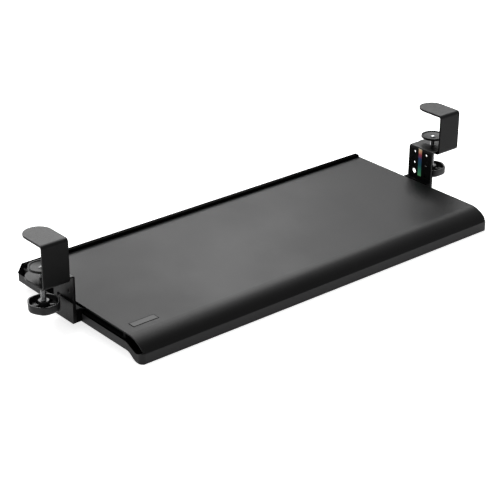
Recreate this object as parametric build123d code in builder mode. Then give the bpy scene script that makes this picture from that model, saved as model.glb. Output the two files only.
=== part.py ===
from build123d import *
import math
import os

os.makedirs("parts", exist_ok=True)

# Frame: X right, Y away from the user, Z up. The origin is under the middle of the
# whole assembly, at the level of the lowest edge of the tray's front strip.

# Tray
tray_width = 660.0
deck_depth = 285.0
deck_thickness = 2.0
front_height = 32.5
crease_drop = 17.0
knee_setback = 23.5
knee_drop_angle = 27.0
knee_radius = 40.0
brow_setback = 8.0
brow_drop_angle = 45.0
brow_radius = 32.0
front_edge_radius = 2.5
deck_corner_radius = 6.0

# Base pan under the deck
band_proud = 3.5
band_top_drop = 11.0
band_bottom_drop = 23.0
pan_wall = 2.0
pan_corner_radius = 8.0
pan_rear_corner_radius = 3.0
belly_setback = 28.5
belly_angle = 36.0
belly_radius = 18.0
shoulder_setback = 34.5
shoulder_radius = 20.0
dip_setback = 13.0
dip_below_crease = 3.2
dip_radius = 9.0
front_wall_ledge = 4.0
side_beam_width = 15.5
pan_edge_round = 1.0

# Rear lip
lip_base_depth = 12.0
lip_top_depth = 8.0
lip_rise = 4.5
lip_end_inset = 2.0
lip_edge_round = 1.4

# Badge seat near the front left corner
badge_length = 43.0
badge_height = 13.0
badge_thickness = 0.9
badge_seat_depth = 0.6
badge_corner_radius = 1.5
badge_gap = 0.15
badge_inset_x = 38.0
badge_inset_y = 50.5

# Steel side rails, open outwards
rail_steel = 1.0
rail_depth = 9.5
rail_mouth_setback = 0.5
rail_front_margin = 6.5
rail_rear_gap = 0.3

# Rubber stops in the rails
stop_length = 5.0
stop_gap = 0.1

# Cross beams inside the tray
beam_width = 22.0
beam_steel = 1.2
beam_end_gap = 0.3
front_beam_inset = 85.0
rear_beam_inset = 60.0

# Screws that hold the pan to the beams
pan_screw_radius = 2.0
pan_screw_head_radius = 3.6
pan_screw_angle = 90.0
pan_screw_length = 9.0
pan_screw_count = 4
pan_screw_clearance = 0.1

# Hanger plates and their backing plates
hanger_offset = 13.3
hanger_width = 50.0
hanger_steel = 2.5
hanger_rise = 50.7
hanger_foot_drop = 22.0
hanger_flange_length = 22.7
hanger_bend_radius = 4.0
hanger_corner_radius = 2.0
flange_corner_radius = 8.0
backing_steel = 2.5
backing_rise = 10.0
backing_relief_length = 14.0
backing_relief_drop = 9.0

# Height holes, two columns of four, one of them widened and lifted for a locating pin
height_hole_radius = 2.2
locating_hole_radius = 4.2
locating_hole_lift = 3.5
locating_row = 1
height_column_spacing = 25.0
height_row_spacing = 18.5
height_row_count = 4
lowest_row_drop = 13.5

# Height label
label_width = 7.0
label_height = 46.0
label_thickness = 0.3
label_top_margin = 1.2

# Carriage blocks and their rollers
carriage_height = 20.5
carriage_top_drop = 1.0
carriage_side_gap = 0.8
carriage_edge_round = 1.5
roller_spacing = 36.0
roller_width = 6.5
roller_running_gap = 0.2
roller_end_gap = 0.6
pin_radius = 1.6
pin_fit = 0.05
pin_head_radius = 2.6
pin_head_thickness = 0.8
pin_depth_in_carriage = 6.5

# Screws that hold hanger, backing plate and carriage together
carriage_screw_radius = 2.0
carriage_screw_head_radius = 3.8
carriage_screw_tip_gap = 1.5
carriage_screw_angle = 90.0
thread_fit = 0.05

# Desk clamps
clamp_setback = 129.0
clamp_offset = 24.3
clamp_width = 42.2
clamp_length = 61.0
clamp_height = 66.3
clamp_steel = 3.0
clamp_bend_radius = 5.5
hanger_setback = 30.5
screw_setback = 35.0
jaw_pad_thickness = 1.5
jaw_pad_margin = 2.5

# Threaded bush in the lower plate
bush_spigot_radius = 6.0
bush_hex_radius = 7.5
bush_hex_height = 4.0

# Clamp screw
screw_radius = 4.0
screw_neck_radius = 3.0
screw_head_radius = 4.6
screw_head_height = 1.8
screw_end_chamfer = 0.6

# Swivelling pad on the clamp screw
pad_gap = 42.0
pad_radius = 19.0
pad_rim_height = 3.6
pad_rim_width = 1.6
pad_rim_slope = 1.4
pad_dish_drop = 3.0
pad_sheet = 1.6
pad_hub_radius = 7.0
pad_hub_height = 4.6

# Hand knob
knob_radius = 23.2
knob_height = 13.0
knob_below_deck = 1.0
knob_lobe_count = 6
knob_lobe_radius = 10.0
knob_core_radius = 22.0
knob_wall = 2.6
knob_floor = 3.5
knob_hub_radius = 8.0
knob_hub_rise = 1.0
knob_rib = 1.8
knob_rib_setdown = 6.0
knob_edge_round = 4.5
knob_press_depth = 10.5

overrun = 5.0

# Levels and planes worked out from the sizes above
total_depth = deck_depth + lip_base_depth
front_y = -total_depth / 2
rear_y = total_depth / 2
deck_rear_y = front_y + deck_depth
deck_top = front_height
deck_under = deck_top - deck_thickness
crease_z = deck_top - crease_drop
band_top = deck_top - band_top_drop
band_bottom = deck_top - band_bottom_drop
pan_half_width = tray_width / 2 + band_proud
beam_half_length = pan_half_width - side_beam_width - beam_end_gap
pan_floor = band_bottom + pan_wall

rail_web_x = tray_width / 2 - rail_mouth_setback - rail_depth
rail_rear_y = deck_rear_y - rail_rear_gap
rail_front_y = front_y + shoulder_setback + rail_front_margin
rail_middle_z = (deck_under + band_top) / 2
roller_radius = (deck_under - band_top) / 2 - rail_steel - roller_running_gap

clamp_front_y = front_y + clamp_setback
hanger_y = clamp_front_y + hanger_setback
screw_y = clamp_front_y + screw_setback
hanger_top = deck_top + hanger_rise
hanger_foot = deck_top - hanger_foot_drop
lower_jaw_top = hanger_top - hanger_steel
clamp_bottom = lower_jaw_top - clamp_steel
clamp_top = clamp_bottom + clamp_height
jaw_face = clamp_top - clamp_steel - jaw_pad_thickness
pad_top = jaw_face - pad_gap
lowest_row_z = deck_top - lowest_row_drop
carriage_top = deck_top - carriage_top_drop
clamp_axis_offset = clamp_offset + clamp_width / 2
knob_bottom = deck_top - knob_below_deck
knob_top = knob_bottom + knob_height

sides = (("left", -1), ("right", 1))


def out_x(side, offset):
    """X of a plane that lies a given distance outside the deck's side edge."""
    return side * (tray_width / 2 + offset)


def facing(side, offset, y, z):
    """Plane square to X that faces outwards on the given side."""
    return Plane(origin=(out_x(side, offset), y, z), x_dir=(0, 1, 0), z_dir=(side, 0, 0))


def finish(part, label):
    """Label a finished piece and write its file."""
    part.label = label
    export_step(part, f"parts/{label}.step")


# Deck profile: flat, then a waterfall that ends at the crease
knee_y = front_y + knee_setback
brow_y = front_y + brow_setback
knee_slope = math.radians(knee_drop_angle)
brow_slope = math.radians(brow_drop_angle)
brow_z = deck_top - (knee_y - brow_y) * math.tan(knee_slope)
front_edge_z = brow_z - brow_setback * math.tan(brow_slope)
deck_line = [
    (deck_rear_y, deck_top),
    (knee_y, deck_top),
    (brow_y, brow_z),
    (front_y, front_edge_z),
    (front_y, crease_z),
]
deck_radii = [knee_radius, brow_radius, front_edge_radius]

# Pan profile: its front strip and underside, then the top of its side band
shoulder_y = front_y + shoulder_setback
belly_y = front_y + belly_setback
belly_run = band_bottom / math.tan(math.radians(belly_angle))
pan_line = [
    (rear_y, band_bottom),
    (belly_y, band_bottom),
    (belly_y - belly_run, 0),
    (front_y, 0),
    (front_y, crease_z),
    (front_y + front_wall_ledge, crease_z),
    (front_y + dip_setback, crease_z - dip_below_crease),
    (shoulder_y, band_top),
    (rear_y, band_top),
]
pan_radii = [belly_radius, belly_radius, pan_edge_round, 0, 0, dip_radius, shoulder_radius]
floor_shift = pan_wall * math.tan(math.radians(belly_angle / 2))
cavity_line = [
    (rear_y - pan_wall, deck_top),
    (rear_y - pan_wall, pan_floor),
    (belly_y - floor_shift, pan_floor),
    (belly_y - belly_run - floor_shift, pan_wall),
    (front_y + pan_wall, pan_wall),
    (front_y + pan_wall, deck_top),
]
# Upstand that closes the groove between pan and deck in front of the rail
middle_slope = (knee_slope + brow_slope) / 2
middle_spread = deck_thickness / math.cos((brow_slope - knee_slope) / 2)
under_knee_y = knee_y + deck_thickness * math.tan(knee_slope / 2)
under_brow_y = brow_y + middle_spread * math.sin(middle_slope)
under_brow_z = brow_z - middle_spread * math.cos(middle_slope)
under_front_y = front_y + deck_thickness
under_front_z = under_brow_z - (under_brow_y - under_front_y) * math.tan(brow_slope)
under_line = [
    (rail_front_y, deck_under),
    (under_knee_y, deck_under),
    (under_brow_y, under_brow_z),
    (under_front_y, under_front_z),
    (under_front_y, crease_z),
]
under_radii = [knee_radius - deck_thickness, brow_radius - deck_thickness, front_edge_radius - deck_thickness]
upstand_foot = [
    (under_front_y, crease_z),
    (under_front_y, crease_z - pan_wall),
    (front_y + dip_setback, crease_z - dip_below_crease - pan_wall),
    (shoulder_y, band_top - pan_wall),
    (rail_front_y, band_top - pan_wall),
    (rail_front_y, deck_under),
]
cavity_half_width = pan_half_width - side_beam_width
beam_height = deck_under - pan_floor
beam_places = (("front", front_y + front_beam_inset), ("rear", deck_rear_y - rear_beam_inset))
screw_pitch = 2 * beam_half_length / pan_screw_count
badge_place = (badge_inset_x - tray_width / 2, front_y + badge_inset_y)

# Deck with its waterfall front
with BuildPart() as tray_deck:
    with BuildSketch(Plane.YZ.offset(-tray_width / 2)):
        with BuildLine():
            FilletPolyline(*deck_line, radius=deck_radii)
            offset(amount=deck_thickness, side=Side.LEFT)
        make_face()
    extrude(amount=tray_width)
    with BuildSketch(Plane.XY) as deck_plan:
        with Locations((0, front_y + deck_depth / 2)):
            Rectangle(tray_width, deck_depth)
        fillet(deck_plan.vertices().group_by(Axis.Y)[0], deck_corner_radius)
    extrude(amount=deck_top + overrun, mode=Mode.INTERSECT)
    with BuildSketch(Plane.XY.offset(deck_top - badge_seat_depth)):
        with Locations(badge_place):
            RectangleRounded(badge_length, badge_height, badge_corner_radius)
    extrude(amount=overrun, mode=Mode.SUBTRACT)
finish(tray_deck.part, "tray_deck")

# Bare badge plate in the deck's shallow seat
with BuildPart() as badge_plate:
    with BuildSketch(Plane.XY.offset(deck_top - badge_seat_depth)):
        with Locations(badge_place):
            RectangleRounded(
                badge_length - 2 * badge_gap, badge_height - 2 * badge_gap, badge_corner_radius - badge_gap
            )
    extrude(amount=badge_thickness)
finish(badge_plate.part, "badge_plate")

# Base pan: front strip, side bands and floor
with BuildPart() as base_pan:
    with BuildSketch(Plane.YZ.offset(-pan_half_width)):
        with BuildLine():
            FilletPolyline(*pan_line, radius=pan_radii)
            Line(pan_line[-1], pan_line[0])
        make_face()
    extrude(amount=2 * pan_half_width)
    with BuildSketch(Plane.XY) as pan_plan:
        Rectangle(2 * pan_half_width, total_depth)
        fillet(pan_plan.vertices().group_by(Axis.Y)[0], pan_corner_radius)
        fillet(pan_plan.vertices().group_by(Axis.Y)[-1], pan_rear_corner_radius)
    extrude(amount=deck_top, mode=Mode.INTERSECT)
    with BuildSketch(Plane.YZ.offset(-cavity_half_width)):
        with BuildLine():
            Polyline(*cavity_line, close=True)
        make_face()
    extrude(amount=2 * cavity_half_width, mode=Mode.SUBTRACT)
    for upstand_x in (-cavity_half_width - pan_wall, cavity_half_width):
        with BuildSketch(Plane.YZ.offset(upstand_x)):
            with BuildLine():
                FilletPolyline(*under_line, radius=under_radii)
                Polyline(*upstand_foot)
            make_face()
        extrude(amount=pan_wall)
    with BuildSketch(Plane.XY):
        for side_name, side in sides:
            with Locations((side * (pan_half_width - side_beam_width / 2), (belly_y + rear_y) / 2)):
                Rectangle(side_beam_width - 2 * pan_wall, rear_y - belly_y - 2 * pan_wall)
    extrude(amount=band_top - pan_wall, mode=Mode.SUBTRACT)
    for beam_name, beam_y in beam_places:
        with Locations(Plane(origin=(0, beam_y, band_bottom), x_dir=(1, 0, 0), z_dir=(0, 0, -1))):
            with GridLocations(screw_pitch, 0, pan_screw_count, 1):
                CounterSinkHole(
                    pan_screw_radius + pan_screw_clearance,
                    pan_screw_head_radius,
                    depth=pan_wall + overrun,
                    counter_sink_angle=pan_screw_angle,
                )
finish(base_pan.part, "base_pan")

# Rear lip, wider and deeper at its foot
with BuildPart() as rear_lip:
    with BuildSketch(Plane.XY.offset(band_top)):
        with Locations((0, deck_rear_y + lip_base_depth / 2)):
            Rectangle(2 * pan_half_width, lip_base_depth)
    with BuildSketch(Plane.XY.offset(deck_top + lip_rise)):
        with Locations((0, deck_rear_y + lip_top_depth / 2)):
            Rectangle(tray_width - 2 * lip_end_inset, lip_top_depth)
    loft()
    fillet(rear_lip.edges().group_by(Axis.Z)[-1], lip_edge_round)
finish(rear_lip.part, "rear_lip")

# Box beams across the tray, between the pan's floor and the deck
for beam_name, beam_y in beam_places:
    with BuildPart() as cross_beam:
        with BuildSketch(Plane.YZ.offset(-beam_half_length)):
            with Locations((beam_y, pan_floor + beam_height / 2)):
                Rectangle(beam_width, beam_height)
                Rectangle(beam_width - 2 * beam_steel, beam_height - 2 * beam_steel, mode=Mode.SUBTRACT)
        extrude(amount=2 * beam_half_length)
        with Locations((0, beam_y, pan_floor)):
            with GridLocations(screw_pitch, 0, pan_screw_count, 1):
                Cylinder(pan_screw_radius + thread_fit, 2 * (beam_steel + pan_wall), mode=Mode.SUBTRACT)
    finish(cross_beam.part, f"{beam_name}_cross_beam")

# Countersunk screws up through the pan's floor into the beams
pan_screw_head_height = (pan_screw_head_radius - pan_screw_radius) / math.tan(math.radians(pan_screw_angle / 2))
pan_screw_line = [
    (0, 0),
    (pan_screw_head_radius, 0),
    (pan_screw_radius, pan_screw_head_height),
    (pan_screw_radius, pan_screw_length),
    (0, pan_screw_length),
]
with BuildPart() as pan_screws:
    for beam_name, beam_y in beam_places:
        for screw_step in range(pan_screw_count):
            screw_x = (screw_step - (pan_screw_count - 1) / 2) * screw_pitch
            with BuildSketch(Plane(origin=(screw_x, beam_y, band_bottom), x_dir=(1, 0, 0), z_dir=(0, -1, 0))):
                with BuildLine():
                    Polyline(*pan_screw_line, close=True)
                make_face()
            revolve(axis=Axis((screw_x, beam_y, band_bottom), (0, 0, 1)))
finish(pan_screws.part, "pan_screws")

for side_name, side in sides:
    # Steel rail of C section in the groove between deck and pan
    rail_height = deck_under - band_top
    with BuildPart() as side_rail:
        with BuildSketch(Plane.XZ.offset(-rail_rear_y)):
            with Locations((side * (rail_web_x + rail_depth / 2), rail_middle_z)):
                Rectangle(rail_depth, rail_height)
            with Locations((side * (rail_web_x + rail_steel + rail_depth / 2), rail_middle_z)):
                Rectangle(rail_depth, rail_height - 2 * rail_steel, mode=Mode.SUBTRACT)
        extrude(amount=rail_rear_y - rail_front_y)
    finish(side_rail.part, f"side_rail_{side_name}")

    # Rubber stops inside the rail, one near each end
    with BuildPart() as rail_stops:
        stop_depth = rail_depth - rail_steel - 2 * stop_gap
        stop_x = side * (rail_web_x + rail_steel + stop_gap + stop_depth / 2)
        with Locations(
            (stop_x, rail_front_y + stop_length / 2, rail_middle_z),
            (stop_x, rail_rear_y - stop_length / 2, rail_middle_z),
        ):
            Box(stop_depth, stop_length, rail_height - 2 * rail_steel - 2 * stop_gap)
    finish(rail_stops.part, f"rail_stops_{side_name}")

    # Hanger plate: upright leg with height holes, flange out over the clamp
    hanger_middle = hanger_offset + hanger_steel / 2
    hanger_path = [
        (out_x(side, hanger_middle), hanger_foot),
        (out_x(side, hanger_middle), hanger_top - hanger_steel / 2),
        (out_x(side, hanger_offset + hanger_flange_length), hanger_top - hanger_steel / 2),
    ]
    with BuildPart() as hanger_plate:
        with BuildSketch(Plane.XZ.offset(-hanger_y)):
            with BuildLine():
                FilletPolyline(*hanger_path, radius=hanger_bend_radius - hanger_steel / 2)
            trace(line_width=hanger_steel)
        extrude(amount=hanger_width / 2, both=True)
        outer_end = hanger_plate.faces().sort_by(Axis.X)[-1 if side > 0 else 0]
        fillet(outer_end.edges().filter_by(Axis.Z), flange_corner_radius)
        foot = hanger_plate.faces().sort_by(Axis.Z)[0]
        fillet(foot.edges().filter_by(Axis.X), hanger_corner_radius)
        for row in range(height_row_count):
            row_z = lowest_row_z + row * height_row_spacing
            rear_z = row_z + (locating_hole_lift if row == locating_row else 0)
            rear_radius = locating_hole_radius if row == locating_row else height_hole_radius
            with Locations(facing(side, hanger_offset + hanger_steel, hanger_y - height_column_spacing / 2, row_z)):
                Hole(height_hole_radius, hanger_steel)
            with Locations(facing(side, hanger_offset + hanger_steel, hanger_y + height_column_spacing / 2, rear_z)):
                Hole(rear_radius, hanger_steel)
    finish(hanger_plate.part, f"hanger_plate_{side_name}")

    # Backing plate outside the hanger, countersunk, with one corner cut away behind the locating hole
    backing_outer = hanger_offset + hanger_steel + backing_steel
    backing_height = backing_rise + hanger_foot_drop
    with BuildPart() as backing_plate:
        with BuildSketch(facing(side, hanger_offset + hanger_steel, hanger_y, hanger_foot + backing_height / 2)):
            RectangleRounded(hanger_width, backing_height, hanger_corner_radius)
        extrude(amount=backing_steel)
        relief_x = out_x(side, backing_outer - backing_steel / 2)
        relief_y = hanger_y + (hanger_width - backing_relief_length) / 2
        relief_z = hanger_foot + backing_height - backing_relief_drop / 2
        with Locations((relief_x, relief_y, relief_z)):
            Box(backing_steel, backing_relief_length, backing_relief_drop, mode=Mode.SUBTRACT)
        with Locations(facing(side, backing_outer, hanger_y, lowest_row_z)):
            with GridLocations(height_column_spacing, 0, 2, 1):
                CounterSinkHole(
                    carriage_screw_radius + thread_fit,
                    carriage_screw_head_radius,
                    depth=backing_steel + overrun,
                    counter_sink_angle=carriage_screw_angle,
                )
    finish(backing_plate.part, f"backing_plate_{side_name}")

    # Colour label on the hanger's inner face
    with BuildPart() as height_label:
        label_z = hanger_top - label_top_margin - label_height / 2
        with BuildSketch(facing(side, hanger_offset, hanger_y, label_z)):
            Rectangle(label_width, label_height)
        extrude(amount=-label_thickness)
    finish(height_label.part, f"height_label_{side_name}")

    # Carriage block between the hanger and the pan's side band
    block_inner = band_proud + carriage_side_gap
    block_depth = hanger_offset - block_inner
    screw_length = backing_steel + hanger_steel + block_depth - carriage_screw_tip_gap
    roller_places = [hanger_y - roller_spacing / 2, hanger_y + roller_spacing / 2]
    with BuildPart() as carriage_block:
        with BuildSketch(facing(side, block_inner, hanger_y, carriage_top - carriage_height / 2)):
            RectangleRounded(hanger_width, carriage_height, carriage_edge_round)
        extrude(amount=block_depth)
        with Locations(facing(side, hanger_offset, hanger_y, lowest_row_z)):
            with GridLocations(height_column_spacing, 0, 2, 1):
                Hole(carriage_screw_radius + thread_fit, block_depth - carriage_screw_tip_gap + thread_fit)
        with Locations(facing(side, block_inner, hanger_y, rail_middle_z)):
            with GridLocations(roller_spacing, 0, 2, 1):
                Hole(pin_radius, pin_depth_in_carriage)
    finish(carriage_block.part, f"carriage_block_{side_name}")

    # Countersunk screws through backing plate, hanger and carriage
    with BuildPart() as carriage_screws:
        head_slope = math.tan(math.radians(carriage_screw_angle / 2))
        head_depth = (carriage_screw_head_radius - carriage_screw_radius) / head_slope
        for screw_place in (-height_column_spacing / 2, height_column_spacing / 2):
            with BuildSketch(facing(side, backing_outer, hanger_y + screw_place, lowest_row_z)):
                Circle(carriage_screw_head_radius)
            with BuildSketch(facing(side, backing_outer - head_depth, hanger_y + screw_place, lowest_row_z)):
                Circle(carriage_screw_radius)
            loft()
            with BuildSketch(facing(side, backing_outer - head_depth, hanger_y + screw_place, lowest_row_z)):
                Circle(carriage_screw_radius)
            extrude(amount=head_depth - screw_length)
    finish(carriage_screws.part, f"carriage_screws_{side_name}")

    # Roller pins pressed into the carriage, with a head inside the rail
    pin_tip = -(rail_mouth_setback + roller_end_gap + roller_width)
    with BuildPart() as roller_pins:
        for roller_y in roller_places:
            with BuildSketch(facing(side, pin_tip - pin_fit, roller_y, rail_middle_z)):
                Circle(pin_radius)
            extrude(amount=block_inner + pin_depth_in_carriage - pin_tip + pin_fit)
            with BuildSketch(facing(side, pin_tip - pin_fit, roller_y, rail_middle_z)):
                Circle(pin_head_radius)
            extrude(amount=-pin_head_thickness)
    finish(roller_pins.part, f"roller_pins_{side_name}")

    # Rollers that run inside the rail
    for roller_name, roller_y in zip(("front", "rear"), roller_places):
        with BuildPart() as roller:
            with BuildSketch(facing(side, pin_tip, roller_y, rail_middle_z)):
                Circle(roller_radius)
                Circle(pin_radius + pin_fit, mode=Mode.SUBTRACT)
            extrude(amount=roller_width)
        finish(roller.part, f"{roller_name}_roller_{side_name}")

    # Bent clamp frame, open towards the desk, with rounded plate ends
    clamp_x = out_x(side, clamp_axis_offset)
    clamp_rear_y = clamp_front_y + clamp_length
    bend_line = clamp_bend_radius - clamp_steel / 2
    clamp_path = [
        (clamp_rear_y, clamp_top - clamp_steel / 2),
        (clamp_front_y + clamp_steel / 2, clamp_top - clamp_steel / 2),
        (clamp_front_y + clamp_steel / 2, clamp_bottom + clamp_steel / 2),
        (clamp_rear_y, clamp_bottom + clamp_steel / 2),
    ]
    with BuildPart() as clamp_frame:
        with BuildSketch(Plane.YZ.offset(clamp_x)):
            with BuildLine():
                FilletPolyline(*clamp_path, radius=bend_line)
            trace(line_width=clamp_steel)
        extrude(amount=clamp_width / 2, both=True)
        with BuildSketch(Plane.XY.offset(clamp_bottom)):
            with Locations((clamp_x, clamp_rear_y - clamp_width / 2)):
                Circle(clamp_width / 2)
            with Locations((clamp_x, clamp_front_y + (clamp_length - clamp_width / 2) / 2)):
                Rectangle(clamp_width, clamp_length - clamp_width / 2)
        extrude(amount=clamp_height, mode=Mode.INTERSECT)
        with Locations((clamp_x, screw_y, clamp_bottom + clamp_steel)):
            Hole(bush_spigot_radius, clamp_steel)
    finish(clamp_frame.part, f"clamp_frame_{side_name}")

    # Thin grip pad under the upper plate
    with BuildPart() as jaw_pad:
        pad_front_y = clamp_front_y + clamp_bend_radius
        pad_side = clamp_width / 2 - jaw_pad_margin
        pad_round_y = clamp_rear_y - clamp_width / 2
        with BuildSketch(Plane.XY.offset(jaw_face)):
            with Locations((clamp_x, pad_round_y)):
                Circle(pad_side)
            with Locations((clamp_x, (pad_front_y + pad_round_y) / 2)):
                Rectangle(2 * pad_side, pad_round_y - pad_front_y)
        extrude(amount=jaw_pad_thickness)
    finish(jaw_pad.part, f"jaw_pad_{side_name}")

    # Threaded bush in the lower plate
    with BuildPart() as threaded_bush:
        with BuildSketch(Plane.XY.offset(clamp_bottom)):
            with Locations((clamp_x, screw_y)):
                RegularPolygon(bush_hex_radius, 6)
        extrude(amount=-bush_hex_height)
        with BuildSketch(Plane.XY.offset(clamp_bottom)):
            with Locations((clamp_x, screw_y)):
                Circle(bush_spigot_radius)
        extrude(amount=clamp_steel)
        with Locations((clamp_x, screw_y, clamp_bottom + clamp_steel)):
            Hole(screw_radius + thread_fit, clamp_steel + bush_hex_height)
    finish(threaded_bush.part, f"threaded_bush_{side_name}")

    # Swivelling pad, turned: rim, dish and hub round the screw's neck
    dish_z = pad_top - pad_dish_drop
    hub_bottom = dish_z - pad_hub_height
    rim_inner = pad_radius - pad_rim_width
    pad_outline = [
        (screw_neck_radius + pin_fit, hub_bottom),
        (pad_hub_radius, hub_bottom),
        (pad_hub_radius, dish_z - pad_sheet),
        (pad_radius, pad_top - pad_rim_height),
        (pad_radius, pad_top),
        (rim_inner, pad_top),
        (rim_inner - pad_rim_slope, pad_top - pad_rim_slope),
        (pad_hub_radius, dish_z),
        (screw_neck_radius + pin_fit, dish_z),
    ]
    screw_axis = Axis((clamp_x, screw_y, 0), (0, 0, 1))
    with BuildPart() as clamp_pad:
        with BuildSketch(Plane(origin=(clamp_x, screw_y, 0), x_dir=(1, 0, 0), z_dir=(0, -1, 0))):
            with BuildLine():
                Polyline(*pad_outline, close=True)
            make_face()
        revolve(axis=screw_axis)
    finish(clamp_pad.part, f"clamp_pad_{side_name}")

    # Clamp screw: threaded length, neck and riveted head above the pad's dish
    screw_bottom = knob_top - knob_press_depth
    head_bottom = dish_z + pin_fit
    with BuildPart() as clamp_screw:
        with BuildSketch(Plane.XY.offset(screw_bottom)):
            with Locations((clamp_x, screw_y)):
                Circle(screw_radius)
        extrude(amount=hub_bottom - pin_fit - screw_bottom)
        chamfer(clamp_screw.edges().group_by(Axis.Z)[0], screw_end_chamfer)
        with BuildSketch(Plane.XY.offset(hub_bottom - pin_fit)):
            with Locations((clamp_x, screw_y)):
                Circle(screw_neck_radius)
        extrude(amount=head_bottom - hub_bottom + pin_fit)
        with BuildSketch(Plane.XY.offset(head_bottom)):
            with Locations((clamp_x, screw_y)):
                Circle(screw_head_radius)
        extrude(amount=screw_head_height)
        chamfer(clamp_screw.edges().group_by(Axis.Z)[-1], screw_end_chamfer)
    finish(clamp_screw.part, f"clamp_screw_{side_name}")

    # Lobed knob, hollow from above, with hub and ribs
    lobe_ring = knob_radius - knob_lobe_radius
    pocket_depth = knob_height - knob_floor
    rib_top = knob_top - knob_rib_setdown
    with BuildPart() as knob:
        with BuildSketch(Plane.XY.offset(knob_bottom)):
            with Locations((clamp_x, screw_y)):
                Circle(knob_core_radius)
                with PolarLocations(lobe_ring, knob_lobe_count):
                    Circle(knob_lobe_radius)
        extrude(amount=knob_height)
        fillet(knob.edges().group_by(Axis.Z)[0], knob_edge_round)
        with BuildSketch(Plane.XY.offset(knob_top)):
            with Locations((clamp_x, screw_y)):
                Circle(knob_core_radius - knob_wall)
                with PolarLocations(lobe_ring, knob_lobe_count):
                    Circle(knob_lobe_radius - knob_wall)
        extrude(amount=-pocket_depth, mode=Mode.SUBTRACT)
        with BuildSketch(Plane.XY.offset(knob_top - pocket_depth)):
            with Locations((clamp_x, screw_y)):
                Circle(knob_hub_radius)
        extrude(amount=pocket_depth + knob_hub_rise)
        with BuildSketch(Plane.XY.offset(knob_top - pocket_depth)):
            with Locations((clamp_x, screw_y)):
                with PolarLocations((knob_hub_radius + knob_core_radius) / 2, knob_lobe_count, 180 / knob_lobe_count):
                    Rectangle(knob_core_radius - knob_hub_radius, knob_rib)
        extrude(amount=rib_top - knob_top + pocket_depth)
        with BuildSketch(Plane.XY.offset(screw_bottom)):
            with Locations((clamp_x, screw_y)):
                Circle(screw_radius)
        extrude(amount=knob_height, mode=Mode.SUBTRACT)
    finish(knob.part, f"knob_{side_name}")
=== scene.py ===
import math

import bmesh
import bpy
from mathutils import Matrix, Vector


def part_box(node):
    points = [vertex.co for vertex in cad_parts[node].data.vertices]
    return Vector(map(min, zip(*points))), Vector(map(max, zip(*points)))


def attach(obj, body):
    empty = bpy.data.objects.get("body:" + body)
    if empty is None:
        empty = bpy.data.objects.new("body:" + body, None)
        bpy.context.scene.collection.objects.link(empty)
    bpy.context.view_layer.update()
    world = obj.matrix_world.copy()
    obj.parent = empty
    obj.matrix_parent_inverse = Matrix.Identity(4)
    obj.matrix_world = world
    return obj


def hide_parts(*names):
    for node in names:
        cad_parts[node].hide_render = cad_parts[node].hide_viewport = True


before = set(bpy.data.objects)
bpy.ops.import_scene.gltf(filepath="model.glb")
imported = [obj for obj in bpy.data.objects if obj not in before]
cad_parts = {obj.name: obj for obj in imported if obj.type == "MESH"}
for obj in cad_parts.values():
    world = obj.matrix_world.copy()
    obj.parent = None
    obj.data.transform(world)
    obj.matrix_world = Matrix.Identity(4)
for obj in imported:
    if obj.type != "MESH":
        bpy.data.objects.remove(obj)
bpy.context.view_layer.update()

bl_info = {
    "name": "Keyboard tray under desk",
    "version": (1, 0, 0),
    "blender": (4, 5, 0),
    "location": "View3D > Sidebar > Tray",
    "description": "Builds the looks of a clamp-on keyboard tray around its packed frame",
    "category": "Object",
}

SIDES = ("left", "right")

# Painted shade in the pan's channel under the deck's edge, in metres: edge and depth from its side,
# start from its front and its foot
GROOVE_SHADE_INSET = 0.0005
GROOVE_SHADE_DEPTH = 0.017
GROOVE_SHADE_START = 0.006
GROOVE_SHADE_FLOOR = 0.012

# Small trim, in metres
# Width of the painted shade all round the badge plate
BADGE_SHADE_LINE = 0.0012
MOULDED_ROUND = 0.0006
BADGE_ROUND = 0.00025
PAD_ROUND = 0.0003

# Clamp screw, in metres: bore in the knob, ridge of the thread, its end inside the pad, and the painted
# shade on its collar
SCREW_BORE = 0.0041
RIDGE_CREST = 0.00395
RIDGE_ROOT = 0.00325
RIDGE_SHARES = (0.42, 0.58)
RIDGE_STEPS = 24
SCREW_STEPS = 40
THREAD_SETDOWN = 0.0005
NECK_RADIUS = 0.003
NECK_SETDOWN = 0.0007
COLLAR_RADIUS = 0.0046
COLLAR_FOOT = 0.0018
COLLAR_TOP = 0.0013
END_RADIUS = 0.0028
END_CHAMFER_FOOT = 0.0006
END_CHAMFER_RADIUS = 0.0012
COLLAR_SHADE_RADIUS = 0.0029
COLLAR_SHADE_DEPTH = 0.002

# Knob, in metres: lap of hub and ribs, and the round where its wall meets the floor
KNOB_STEPS = 120
CORNER_STEPS = 6
HUB_LAP = 0.0004
WALL_DRAFT = 0.0004
WALL_FOOT = 0.001
FLOOR_ROUND = 0.0014

# Noise: middle band that is spread to the full range, and roughness of its octaves
BAND_LOW = 0.3
BAND_HIGH = 0.7
OCTAVE_ROUGHNESS = 0.55
NEUTRAL_BLUE = 1.03

# Lamps: place, aim and size in metres, power in watts
LAMPS = {
    "key_above": dict(place=(1.45, 1.2, 2.4), aim=(0.0, 0.0, 0.0), size=(1.3, 2.7), power=100.0),
    "window_behind": dict(place=(1.5, 2.9, 1.7), aim=(0.0, 0.0, 0.05), size=(1.8, 1.3), power=48.0),
    "fill_left": dict(place=(-2.6, 0.2, 1.0), aim=(0.0, 0.0, 0.05), size=(1.6, 1.2), power=12.0),
}
FLOOR_GLOW = 0.72
SURROUND_LIGHT = 0.45

# Height label: colours from its foot to its top
LABEL_STOPS = (
    (0.0, (0.16, 0.55, 0.24)),
    (0.18, (0.06, 0.36, 0.2)),
    (0.4, (0.015, 0.12, 0.16)),
    (0.64, (0.025, 0.07, 0.22)),
    (0.8, (0.5, 0.07, 0.1)),
    (0.92, (1.0, 0.55, 0.3)),
    (1.0, (1.0, 0.85, 0.6)),
)


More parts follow.
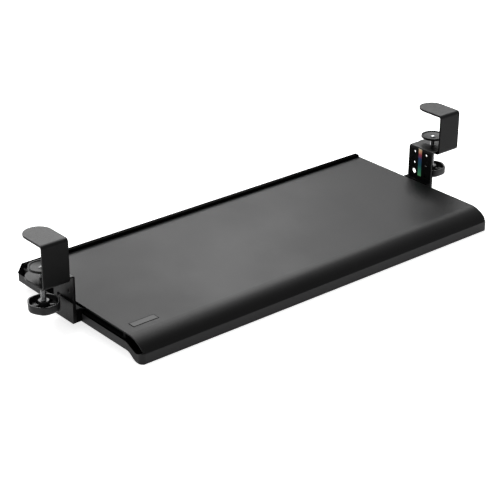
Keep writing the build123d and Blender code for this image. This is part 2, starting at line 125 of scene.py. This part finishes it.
# Shader expressions
class Wire:
    """A shader socket that takes part in plain arithmetic."""

    def __init__(self, finish, socket):
        self.finish = finish
        self.socket = socket

    def _math(self, operation, *values):
        return self.finish.node("ShaderNodeMath", {"operation": operation}, *values)

    def __add__(self, other):
        return self._math("ADD", self, other)

    def __radd__(self, other):
        return self._math("ADD", other, self)

    def __sub__(self, other):
        return self._math("SUBTRACT", self, other)

    def __rsub__(self, other):
        return self._math("SUBTRACT", other, self)

    def __mul__(self, other):
        return self._math("MULTIPLY", self, other)

    def __rmul__(self, other):
        return self._math("MULTIPLY", other, self)

    def __abs__(self):
        return self._math("ABSOLUTE", self)

    def __gt__(self, other):
        return self._math("GREATER_THAN", self, other)

    def __lt__(self, other):
        return self._math("LESS_THAN", self, other)


class Finish:
    """One node material on a Principled shader."""

    def __init__(self, name, **fixed):
        self.material = bpy.data.materials.new(name)
        self.material.use_nodes = True
        self.tree = self.material.node_tree
        self.shader = self.tree.nodes["Principled BSDF"]
        for socket, value in fixed.items():
            self.shader.inputs[socket.replace("_", " ")].default_value = value

    def node(self, kind, settings=None, *values, out=0, **named):
        """Adds a node: its settings first, then the values or links of its sockets."""
        made = self.tree.nodes.new(kind)
        for key, value in (settings or {}).items():
            if key == "stops":
                ramp = made.color_ramp.elements
                while len(ramp) < len(value):
                    ramp.new(0.5)
                for stop, (place, colour) in zip(ramp, value):
                    stop.position = place
                    stop.color = (*colour, 1.0)
            else:
                setattr(made, key, value)
        wanted = list(enumerate(values)) + [(k.replace("_", " "), v) for k, v in named.items()]
        for key, value in wanted:
            if isinstance(value, Wire):
                self.tree.links.new(value.socket, made.inputs[key])
            elif value is not None:
                made.inputs[key].default_value = value
        return Wire(self, made.outputs[out])

    def feed(self, socket, value):
        """Links a wire to one of the shader's own sockets."""
        self.tree.links.new(value.socket, self.shader.inputs[socket])

    def place(self):
        """Object coordinates, in metres."""
        return self.node("ShaderNodeTexCoord", out="Object")

    def axes(self):
        """Object coordinates as three numbers."""
        split = self.node("ShaderNodeSeparateXYZ", None, self.place()).socket.node
        return [Wire(self, socket) for socket in split.outputs]

    def noise(self, scale, detail=3.0):
        """Grey noise with the given number of waves to a metre."""
        return self.node(
            "ShaderNodeTexNoise",
            None,
            Vector=self.place(),
            Scale=scale,
            Detail=detail,
            Roughness=OCTAVE_ROUGHNESS,
        )

    def spread(self, value, low, high, new_low, new_high):
        """Maps a value's range to a new one, held at both ends."""
        return self.node("ShaderNodeMapRange", None, value, low, high, new_low, new_high)

    def blend(self, factor, first, second):
        """Mixes two colours."""
        colours = {"A": _colour(first), "B": _colour(second)}
        return self.node("ShaderNodeMix", {"data_type": "RGBA"}, out=2, Factor=factor, **colours)

    def grain(self, height, depth):
        """A bump from a height, with its depth in metres."""
        return self.node("ShaderNodeBump", None, Strength=1.0, Distance=depth, Height=height)


def _colour(value):
    """A wire as it is, or three numbers with full alpha."""
    return value if isinstance(value, Wire) else (*value, 1.0)


def grey(level):
    """A neutral colour."""
    return (level, level, level * NEUTRAL_BLUE)


def moulded(name, level, roughness, specular, grain_scale, grain_depth, streak=0.25):
    """Moulded plastic or lacquer: fine grain, faint cloudiness and worn-in sheen."""
    wear = 0.03
    finish = Finish(name, Specular_IOR_Level=specular)
    fine = finish.noise(grain_scale, detail=2.0)
    cloud = finish.noise(9.0, detail=4.0)
    dark, light = grey(level * (1 - streak)), grey(level * (1 + streak))
    finish.feed("Base Color", finish.blend(cloud, dark, light))
    worn = finish.spread(cloud, BAND_LOW, BAND_HIGH, -wear, wear)
    finish.feed("Roughness", worn + fine * (2 * wear) + (roughness - wear))
    finish.feed("Normal", finish.grain(fine, grain_depth))
    return finish


def powder(name, level, roughness, specular):
    """Powder coat on steel: orange peel and scattered fine specks."""
    speck_size, speck_cover, speck_gain = 0.16, 0.5, 4
    smoothest, roughest = roughness - 0.05, roughness + 0.07
    finish = Finish(name, Specular_IOR_Level=specular)
    peel = finish.noise(900.0, detail=2.0)
    speck = finish.node("ShaderNodeTexVoronoi", {"feature": "F1"}, Vector=finish.place(), Scale=1400.0)
    cloud = finish.noise(25.0)
    base = finish.blend(cloud, grey(level * 0.8), grey(level * 1.25))
    cover = (speck < speck_size) * speck_cover
    finish.feed("Base Color", finish.blend(cover, base, grey(level * speck_gain)))
    finish.feed("Roughness", finish.spread(peel, BAND_LOW, BAND_HIGH, smoothest, roughest))
    finish.feed("Normal", finish.grain(peel + speck * 0.3, 0.00006))
    return finish


def plated(name, level=0.56):
    """Zinc plate: bright metal with a drifting dull bloom."""
    smoothest, roughest = 0.2, 0.38
    finish = Finish(name, Metallic=1.0)
    bloom = finish.noise(160.0, detail=4.0)
    fine = finish.noise(2200.0, detail=2.0)
    dull, bright = (level * 0.8,) * 3, (level * 1.15, level * 1.16, level * 1.18)
    finish.feed("Base Color", finish.blend(bloom, dull, bright))
    finish.feed("Roughness", finish.spread(bloom, BAND_LOW, BAND_HIGH, smoothest, roughest))
    finish.feed("Normal", finish.grain(fine, 0.00001))
    return finish


def dress(finish, *names):
    """Gives CAD nodes a finish."""
    for name in names:
        for material_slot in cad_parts[name].material_slots:
            material_slot.material = finish.material


# Mesh helpers
def piece(mesh, name, body, finish, nodes=(), smooth=30.0):
    """Turns a bmesh into a finished piece that rides on a body."""
    data = bpy.data.meshes.new(name)
    mesh.to_mesh(data)
    mesh.free()
    made = bpy.data.objects.new(name, data)
    bpy.context.scene.collection.objects.link(made)
    data.materials.append(finish.material)
    data.shade_smooth()
    data.set_sharp_from_angle(angle=math.radians(smooth))
    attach(made, body)
    if nodes:
        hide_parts(*nodes)
    return made


def soften(made, width, segments=2, angle=30.0):
    """Rounds a piece's sharp edges and keeps its flats flat."""
    bevel = made.modifiers.new("Edge", "BEVEL")
    bevel.width = width
    bevel.segments = segments
    bevel.limit_method = "ANGLE"
    bevel.angle_limit = math.radians(angle)
    bevel.use_clamp_overlap = True
    bevel.harden_normals = False
    made.modifiers.new("Flats", "WEIGHTED_NORMAL").keep_sharp = True


def merged_copy(node):
    """A bmesh of a CAD node with its triangles joined into flat faces."""
    mesh = bmesh.new()
    mesh.from_mesh(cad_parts[node].data)
    bmesh.ops.remove_doubles(mesh, verts=mesh.verts, dist=1e-6)
    bmesh.ops.dissolve_limit(
        mesh, angle_limit=math.radians(0.5), verts=mesh.verts, edges=mesh.edges, delimit={"NORMAL"}
    )
    return mesh


def turned(mesh, outline, centre, steps):
    """Spins an outline of (radius, height) pairs round a vertical axis."""
    start = [mesh.verts.new((centre[0] + r, centre[1], z)) for r, z in outline]
    edges = [mesh.edges.new(pair) for pair in zip(start, start[1:])]
    bmesh.ops.spin(
        mesh,
        geom=start + edges,
        cent=(centre[0], centre[1], 0),
        axis=(0, 0, 1),
        angle=math.tau,
        steps=steps,
        use_merge=True,
    )
    bmesh.ops.remove_doubles(mesh, verts=mesh.verts, dist=1e-7)
    bmesh.ops.recalc_face_normals(mesh, faces=mesh.faces)


# User settings
class TrayLooks(bpy.types.PropertyGroup):
    """Finishes of the tray and its brackets."""

    deck_level: bpy.props.FloatProperty(
        name="Deck level",
        description="Grey level of the deck's lacquer",
        default=0.004,
        min=0.0,
        max=1.0,
    )
    pan_level: bpy.props.FloatProperty(
        name="Pan level",
        description="Grey level of the base pan",
        default=0.016,
        min=0.0,
        max=1.0,
    )
    bracket_level: bpy.props.FloatProperty(
        name="Bracket level",
        description="Grey level of the powder coat",
        default=0.002,
        min=0.0,
        max=1.0,
    )
    edge_round: bpy.props.FloatProperty(
        name="Edge rounding", description="Radius on sheet metal edges", default=0.0003, unit="LENGTH"
    )
    thread_pitch: bpy.props.FloatProperty(
        name="Thread pitch", description="Pitch of the clamp screws", default=0.00125, unit="LENGTH"
    )


class KnobShape(bpy.types.PropertyGroup):
    """Form of the hand knobs."""

    core_radius: bpy.props.FloatProperty(
        name="Core radius", description="Radius in the scallops", default=0.022, unit="LENGTH"
    )
    lobes: bpy.props.IntProperty(name="Lobes", description="Number of lobes", default=6, min=2)
    wall: bpy.props.FloatProperty(
        name="Wall", description="Thickness of the rim", default=0.0026, unit="LENGTH"
    )
    base: bpy.props.FloatProperty(
        name="Base", description="Thickness of the base", default=0.0035, unit="LENGTH"
    )
    hub_radius: bpy.props.FloatProperty(
        name="Hub radius", description="Radius of the hub", default=0.008, unit="LENGTH"
    )
    hub_rise: bpy.props.FloatProperty(
        name="Hub rise", description="Height of the hub over the rim", default=0.001, unit="LENGTH"
    )
    under_round: bpy.props.FloatProperty(
        name="Under rounding", description="Radius under the rim", default=0.0045, unit="LENGTH"
    )
    lip_round: bpy.props.FloatProperty(
        name="Lip rounding", description="Radius on the rim's top", default=0.0009, unit="LENGTH"
    )
    rib: bpy.props.FloatProperty(
        name="Rib", description="Thickness of the ribs", default=0.0018, unit="LENGTH"
    )
    rib_drop: bpy.props.FloatProperty(
        name="Rib drop", description="Depth of the ribs under the rim", default=0.006, unit="LENGTH"
    )
    press_depth: bpy.props.FloatProperty(
        name="Press depth", description="Depth of the screw in the hub", default=0.0105, unit="LENGTH"
    )


class TrayView(bpy.types.PropertyGroup):
    """Camera and stage."""

    camera_place: bpy.props.FloatVectorProperty(
        name="Camera place",
        description="Where the camera stands",
        size=3,
        default=(-1.392583, -1.612769, 1.039136),
        subtype="TRANSLATION",
        unit="LENGTH",
    )
    camera_heading: bpy.props.FloatProperty(
        name="Heading",
        description="Turn of the camera from +X",
        default=math.radians(49.65),
        subtype="ANGLE",
    )
    camera_tilt: bpy.props.FloatProperty(
        name="Tilt",
        description="How far the camera looks down",
        default=math.radians(25.77),
        subtype="ANGLE",
    )
    camera_roll: bpy.props.FloatProperty(
        name="Roll",
        description="Camera's turn about its own axis",
        default=math.radians(0.472),
        subtype="ANGLE",
    )
    lens: bpy.props.FloatProperty(
        name="Lens", description="Focal length in mm on a 36 mm sensor", default=113.88
    )
    floor_size: bpy.props.FloatProperty(
        name="Floor size", description="Half the width of the floor", default=12.0, unit="LENGTH"
    )


# Operators
class TRAY_OT_deck(bpy.types.Operator):
    """Dress the deck, its badge plate and the rear lip"""

    bl_idname = "tray.deck"
    bl_label = "Deck and lip"

    def execute(self, context):
        looks = context.scene.tray_looks
        lacquer = moulded(
            "deck_lacquer",
            level=looks.deck_level,
            roughness=0.38,
            specular=0.056,
            grain_scale=2600.0,
            grain_depth=0.00002,
        )
        made = piece(merged_copy("tray_deck"), "deck", "tray", lacquer, ("tray_deck",))
        soften(made, MOULDED_ROUND, segments=3)
        badge = self.badge_finish(looks.deck_level * 2.0)
        made = piece(merged_copy("badge_plate"), "badge", "tray", badge, ("badge_plate",))
        soften(made, BADGE_ROUND)
        gloss = moulded(
            "lip_gloss",
            level=0.0008,
            roughness=0.16,
            specular=0.0012,
            grain_scale=1800.0,
            grain_depth=0.000004,
        )
        made = piece(merged_copy("rear_lip"), "lip", "tray", gloss, ("rear_lip",))
        soften(made, MOULDED_ROUND, segments=3)
        return {"FINISHED"}

    def badge_finish(self, level):
        """Lacquer with painted shade: a dull dark band all round the plate, where its edge meets the
        deck.
        """
        low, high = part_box("badge_plate")
        middle, half = (low + high) / 2, (high - low) / 2
        finish = Finish("badge_lacquer", Specular_IOR_Level=0.066)
        x, y, _ = finish.axes()
        beyond_x = abs(x - middle.x) > half.x - BADGE_SHADE_LINE
        beyond_y = abs(y - middle.y) > half.y - BADGE_SHADE_LINE
        # Painted shade along the plate's edge
        edge_shade = finish.node("ShaderNodeMath", {"operation": "MAXIMUM"}, beyond_x, beyond_y)
        fine = finish.noise(3000.0, detail=2.0)
        # Painted shade: near-black base colour along the plate's edge
        finish.feed("Base Color", finish.blend(edge_shade, grey(level), grey(0.001)))
        finish.feed("Roughness", edge_shade * 0.6 + fine * 0.05 + 0.28)
        finish.feed("Normal", finish.grain(fine, 0.00001))
        return finish


class TRAY_OT_pan(bpy.types.Operator):
    """Dress the base pan and what is inside the tray"""

    bl_idname = "tray.pan"
    bl_label = "Base pan"

    def execute(self, context):
        looks = context.scene.tray_looks
        shell = moulded(
            "pan_plastic",
            level=looks.pan_level,
            roughness=0.46,
            specular=0.12,
            grain_scale=1500.0,
            grain_depth=0.00004,
        )
        # Painted shade in the channel under the deck's edge, mixed into the pan plastic
        self.painted_groove_shade(shell)
        made = piece(merged_copy("base_pan"), "pan", "tray", shell, ("base_pan",))
        soften(made, MOULDED_ROUND, segments=3)
        zinc = plated("zinc_inside")
        dress(zinc, "front_cross_beam", "rear_cross_beam", "pan_screws")
        black = powder("rail_coat", level=0.004, roughness=0.5, specular=0.02)
        dress(black, "side_rail_left", "side_rail_right", "rail_stops_left", "rail_stops_right")
        rubber = moulded(
            "stop_rubber",
            level=0.02,
            roughness=0.7,
            specular=0.3,
            grain_scale=1500.0,
            grain_depth=0.00003,
        )
        dress(rubber, "jaw_pad_left", "jaw_pad_right")
        return {"FINISHED"}

    def painted_groove_shade(self, finish):
        """Painted shade: mixes in a dull black where the pan lies inside the channel under the deck's
        edge, standing in for the shade there.
        """
        low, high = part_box("base_pan")
        x, y, z = finish.axes()
        across = abs(x)
        # Painted shade: mask of the pan inside the channel under the deck's edge
        inside = (across < high.x - GROOVE_SHADE_INSET) * (across > high.x - GROOVE_SHADE_DEPTH)
        inside = inside * (y > low.y + GROOVE_SHADE_START) * (z > low.z + GROOVE_SHADE_FLOOR)
        base = finish.blend(finish.noise(60.0), grey(0.0006), grey(0.0014))
        # Painted shade: a dull near-black surface standing for the shade in that channel
        black = finish.node(
            "ShaderNodeBsdfPrincipled", None, Base_Color=base, Roughness=0.8, Specular_IOR_Level=0.005
        )
        shell = Wire(finish, finish.shader.outputs[0])
        both = finish.node("ShaderNodeMixShader", None, inside, shell, black)
        finish.tree.links.new(both.socket, finish.tree.nodes["Material Output"].inputs["Surface"])


class TRAY_OT_brackets(bpy.types.Operator):
    """Dress hangers, backing plates, carriages and clamp frames"""

    bl_idname = "tray.brackets"
    bl_label = "Brackets"

    def execute(self, context):
        looks = context.scene.tray_looks
        coat = powder("bracket_coat", level=looks.bracket_level, roughness=0.37, specular=0.088)
        acetal = moulded(
            "carriage_acetal",
            level=0.002,
            roughness=0.5,
            specular=0.015,
            grain_scale=1500.0,
            grain_depth=0.00003,
        )
        zinc = plated("zinc_fixings", level=0.25)
        nylon = moulded(
            "roller_nylon",
            level=0.01,
            roughness=0.4,
            specular=0.2,
            grain_scale=1500.0,
            grain_depth=0.00002,
            streak=0.05,
        )
        for side in SIDES:
            for node in ("hanger_plate", "backing_plate", "clamp_frame"):
                name = f"{node}_{side}"
                skin = f"{name}_skin"
                made = piece(merged_copy(name), skin, "desk_side", coat, (name,))
                soften(made, looks.edge_round)
            name = f"carriage_block_{side}"
            skin = f"{name}_skin"
            made = piece(merged_copy(name), skin, "desk_side", acetal, (name,))
            soften(made, looks.edge_round)
            dress(zinc, f"roller_pins_{side}")
            dress(coat, f"carriage_screws_{side}", f"threaded_bush_{side}")
            dress(nylon, f"front_roller_{side}", f"rear_roller_{side}")
        return {"FINISHED"}


class TRAY_OT_label(bpy.types.Operator):
    """Put the colour fields on the height labels"""

    bl_idname = "tray.label"
    bl_label = "Height labels"

    def execute(self, context):
        for side in SIDES:
            low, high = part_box(f"height_label_{side}")
            film = Finish(f"label_film_{side}", Roughness=0.35, Specular_IOR_Level=0.3)
            share = film.spread(film.axes()[2], low.z, high.z, 0.0, 1.0)
            ramp = film.node("ShaderNodeValToRGB", {"stops": LABEL_STOPS}, share)
            film.feed("Base Color", film.blend(film.noise(700.0) * 0.15, ramp, grey(0.05)))
            dress(film, f"height_label_{side}")
        return {"FINISHED"}


class TRAY_OT_clamps(bpy.types.Operator):
    """Make the clamp screws, swivelling pads and knobs"""

    bl_idname = "tray.clamps"
    bl_label = "Clamp screws and knobs"

    def execute(self, context):
        looks = context.scene.tray_looks
        zinc = plated("screw_zinc", level=0.28)
        # Painted shade on the screw collars inside the pads
        self.paint_collar_shade(zinc)
        coat = powder("pad_coat", level=looks.bracket_level, roughness=0.4, specular=0.1)
        nylon = moulded(
            "knob_nylon",
            level=0.008,
            roughness=0.32,
            specular=0.18,
            grain_scale=1700.0,
            grain_depth=0.00003,
        )
        for side in SIDES:
            screw = f"clamp_screw_{side}"
            low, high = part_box(screw)
            centre = (low + high) / 2
            pad = f"clamp_pad_{side}"
            pad_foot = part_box(pad)[0].z
            skin = f"pad_{side}_skin"
            made = piece(merged_copy(pad), skin, f"pad_{side}", coat, (pad,))
            soften(made, PAD_ROUND)
            knob = f"knob_{side}"
            mesh = bmesh.new()
            self.knob(mesh, *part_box(knob), context.scene.tray_knob)
            piece(mesh, f"{knob}_skin", f"screw_{side}", nylon, (knob,), smooth=50)
            mesh = bmesh.new()
            self.threaded(mesh, centre, low.z, pad_foot - THREAD_SETDOWN, looks.thread_pitch)
            self.screw_end(mesh, centre, pad_foot - NECK_SETDOWN, high.z)
            piece(mesh, f"{screw}_thread", f"screw_{side}", zinc, (screw,), smooth=40)
        return {"FINISHED"}

    def screw_end(self, mesh, centre, foot, top):
        """Turns the neck, the collar and the chamfered end that sit inside the pad."""
        outline = [
            (0, foot),
            (NECK_RADIUS, foot),
            (NECK_RADIUS, top - COLLAR_FOOT),
            (COLLAR_RADIUS, top - COLLAR_FOOT),
            (COLLAR_RADIUS, top - COLLAR_TOP),
            (END_RADIUS, top - COLLAR_TOP),
            (END_RADIUS, top - END_CHAMFER_FOOT),
            (END_CHAMFER_RADIUS, top),
            (0, top),
        ]
        turned(mesh, outline, centre, SCREW_STEPS)

    def paint_collar_shade(self, finish):
        """Painted shade: blackens the collar round the end of each screw, inside its pad, where the pad
        shades it.
        """
        low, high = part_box("clamp_screw_right")
        centre = (low + high) / 2
        x, y, z = finish.axes()
        across, along = abs(x) - centre.x, y - centre.y
        outside = across * across + along * along > COLLAR_SHADE_RADIUS**2
        collar = outside * (z > high.z - COLLAR_SHADE_DEPTH)
        zinc = Wire(finish, finish.shader.inputs["Base Color"].links[0].from_socket)
        # Painted shade: near-black on the collar
        finish.feed("Base Color", finish.blend(collar, zinc, grey(0.015)))

    def knob(self, mesh, low, high, shape):
        """Spins the knob's section, draws its walls in between the lobes and adds the ribs."""
        centre = (low + high) / 2
        radius = (high.x - low.x) / 2
        bottom, top, rim = low.z, high.z, high.z - shape.hub_rise
        inner, floor, hub = radius - shape.wall, low.z + shape.base, shape.hub_radius
        lip, under = shape.lip_round, shape.under_round
        bore_end = rim - shape.press_depth
        outline = [(0.0, bottom)]
        outline += self.corner(radius - under, bottom + under, under, -90)
        outline += self.corner(radius - lip, rim - lip, lip, 0)
        outline += self.corner(inner + lip, rim - lip, lip, 90)
        outline += [(inner - WALL_DRAFT, floor + WALL_FOOT), (inner - FLOOR_ROUND, floor), (hub, floor)]
        outline += self.corner(hub - lip, top - lip, lip, 0)
        outline += [(SCREW_BORE, top), (SCREW_BORE, bore_end), (0.0, bore_end)]
        turned(mesh, outline, centre, KNOB_STEPS)
        sector = math.tau / shape.lobes
        for vert in mesh.verts:
            away = Vector((vert.co.x - centre.x, vert.co.y - centre.y))
            if away.length <= hub + 1e-5:
                continue
            turn = math.atan2(away.y, away.x) * shape.lobes
            dip = (radius - shape.core_radius) * (0.5 - 0.5 * math.cos(turn))
            away *= 1 - dip * (away.length - hub) / (radius - hub) / away.length
            vert.co.x, vert.co.y = centre.x + away.x, centre.y + away.y
        length = shape.core_radius - shape.wall - hub + 2 * HUB_LAP
        height = rim - shape.rib_drop - floor
        for index in range(shape.lobes):
            spoke = Matrix.Rotation((index + 0.5) * sector, 4, "Z")
            place = Matrix.Translation((centre.x, centre.y, floor + height / 2)) @ spoke
            place = place @ Matrix.Translation((hub + length / 2 - HUB_LAP, 0, 0))
            size = Matrix.Diagonal((length, shape.rib, height, 1))
            bmesh.ops.create_cube(mesh, size=1.0, matrix=place @ size)

    def corner(self, x, z, radius, start):
        """A quarter turn of (radius, height) points round (x, z)."""
        angles = [math.radians(start + 90 * step / CORNER_STEPS) for step in range(CORNER_STEPS + 1)]
        return [(x + radius * math.cos(a), z + radius * math.sin(a)) for a in angles]

    def threaded(self, mesh, centre, bottom, top, pitch):
        """Sweeps one ridge of the thread up a helix."""
        turns = int((top - bottom) / pitch) - 1
        crest = [(RIDGE_CREST, pitch * share) for share in RIDGE_SHARES]
        ridge = [(RIDGE_ROOT, 0.0), *crest, (RIDGE_ROOT, pitch)]
        verts = [mesh.verts.new((centre.x + r, centre.y, bottom + z)) for r, z in ridge]
        edges = [mesh.edges.new(pair) for pair in zip(verts, verts[1:])]
        bmesh.ops.spin(
            mesh,
            geom=verts + edges,
            cent=(centre.x, centre.y, 0),
            axis=(0, 0, 1),
            dvec=(0, 0, pitch / RIDGE_STEPS),
            angle=math.tau * turns,
            steps=RIDGE_STEPS * turns,
            use_merge=False,
        )
        bmesh.ops.remove_doubles(mesh, verts=mesh.verts, dist=2e-6)
        bmesh.ops.recalc_face_normals(mesh, faces=mesh.faces)


class TRAY_OT_stage(bpy.types.Operator):
    """Set the floor, lights, world and camera"""

    bl_idname = "tray.stage"
    bl_label = "Stage"

    def execute(self, context):
        scene = context.scene
        view = scene.tray_view
        scene.view_settings.view_transform = "Standard"
        self.floor(view.floor_size)
        self.world(scene)
        for name, settings in LAMPS.items():
            self.lamp(name, **settings)
        camera = bpy.data.cameras.new("camera")
        camera.lens = view.lens
        camera.sensor_width = 36.0
        holder = bpy.data.objects.new("camera", camera)
        scene.collection.objects.link(holder)
        turn = Matrix.Rotation(view.camera_heading - math.pi / 2, 4, "Z")
        tip = Matrix.Rotation(math.pi / 2 - view.camera_tilt, 4, "X")
        roll = Matrix.Rotation(view.camera_roll, 4, "Z")
        holder.matrix_world = Matrix.Translation(view.camera_place) @ turn @ tip @ roll
        scene.camera = holder
        return {"FINISHED"}

    def floor(self, size):
        """A pale floor that reads as white to the camera and in reflections."""
        mesh = bmesh.new()
        bmesh.ops.create_grid(mesh, x_segments=4, y_segments=4, size=size)
        data = bpy.data.meshes.new("floor")
        mesh.to_mesh(data)
        mesh.free()
        made = bpy.data.objects.new("floor", data)
        bpy.context.scene.collection.objects.link(made)
        finish = Finish("floor_paper", Roughness=0.9)
        finish.feed("Base Color", finish.blend(finish.noise(3.0), (0.8,) * 3, (0.82,) * 3))
        seen = finish.node("ShaderNodeLightPath")
        camera = Wire(finish, seen.socket.node.outputs["Is Camera Ray"])
        glossy = Wire(finish, seen.socket.node.outputs["Is Glossy Ray"])
        through = Wire(finish, seen.socket.node.outputs["Is Transmission Ray"])
        lift = (camera + glossy + through) * FLOOR_GLOW
        white = finish.node("ShaderNodeEmission", None, (1, 1, 1, 1), lift)
        paper = Wire(finish, finish.shader.outputs[0])
        both = finish.node("ShaderNodeAddShader", None, paper, white)
        output = finish.tree.nodes["Material Output"]
        finish.tree.links.new(both.socket, output.inputs["Surface"])
        data.materials.append(finish.material)

    def world(self, scene):
        """An even pale surround, white to the camera and in reflections."""
        world = bpy.data.worlds.new("surround")
        world.use_nodes = True
        scene.world = world
        nodes, links = world.node_tree.nodes, world.node_tree.links
        path = nodes.new("ShaderNodeLightPath")
        seen = nodes.new("ShaderNodeMath")
        seen.operation = "MAXIMUM"
        links.new(path.outputs["Is Camera Ray"], seen.inputs[0])
        reflected = nodes.new("ShaderNodeMath")
        reflected.operation = "MAXIMUM"
        links.new(path.outputs["Is Glossy Ray"], reflected.inputs[0])
        links.new(path.outputs["Is Transmission Ray"], reflected.inputs[1])
        links.new(reflected.outputs[0], seen.inputs[1])
        strength = nodes.new("ShaderNodeMapRange")
        strength.inputs["To Min"].default_value = SURROUND_LIGHT
        strength.inputs["To Max"].default_value = 1.0
        links.new(seen.outputs[0], strength.inputs["Value"])
        back = nodes["Background"]
        back.inputs["Color"].default_value = (1, 1, 1, 1)
        links.new(strength.outputs[0], back.inputs["Strength"])

    def lamp(self, name, place, aim, size, power):
        """A large soft lamp aimed at a point."""
        light = bpy.data.lights.new(name, "AREA")
        light.shape = "RECTANGLE"
        light.size, light.size_y = size
        light.energy = power
        holder = bpy.data.objects.new(name, light)
        bpy.context.scene.collection.objects.link(holder)
        direction = Vector(aim) - Vector(place)
        turn = direction.to_track_quat("-Z", "Y").to_matrix().to_4x4()
        holder.matrix_world = Matrix.Translation(place) @ turn


class TRAY_PT_panel(bpy.types.Panel):
    """Lists the tray's builders and settings"""

    bl_idname = "TRAY_PT_panel"
    bl_label = "Keyboard tray"
    bl_space_type = "VIEW_3D"
    bl_region_type = "UI"
    bl_category = "Tray"

    def draw(self, context):
        for group in (context.scene.tray_looks, context.scene.tray_knob, context.scene.tray_view):
            for name in group.__annotations__:
                self.layout.prop(group, name)
        for operator in BUILDERS:
            self.layout.operator(operator.bl_idname)


BUILDERS = (TRAY_OT_deck, TRAY_OT_pan, TRAY_OT_brackets, TRAY_OT_label, TRAY_OT_clamps, TRAY_OT_stage)
GROUPS = (TrayLooks, KnobShape, TrayView)


def register():
    for item in (*GROUPS, *BUILDERS, TRAY_PT_panel):
        bpy.utils.register_class(item)
    bpy.types.Scene.tray_looks = bpy.props.PointerProperty(type=TrayLooks)
    bpy.types.Scene.tray_knob = bpy.props.PointerProperty(type=KnobShape)
    bpy.types.Scene.tray_view = bpy.props.PointerProperty(type=TrayView)


def unregister():
    del bpy.types.Scene.tray_view
    del bpy.types.Scene.tray_knob
    del bpy.types.Scene.tray_looks
    for item in reversed((*GROUPS, *BUILDERS, TRAY_PT_panel)):
        bpy.utils.unregister_class(item)


def main():
    register()
    for operator in BUILDERS:
        family, name = operator.bl_idname.split(".")
        getattr(getattr(bpy.ops, family), name)()


if __name__ == "__main__":
    main()
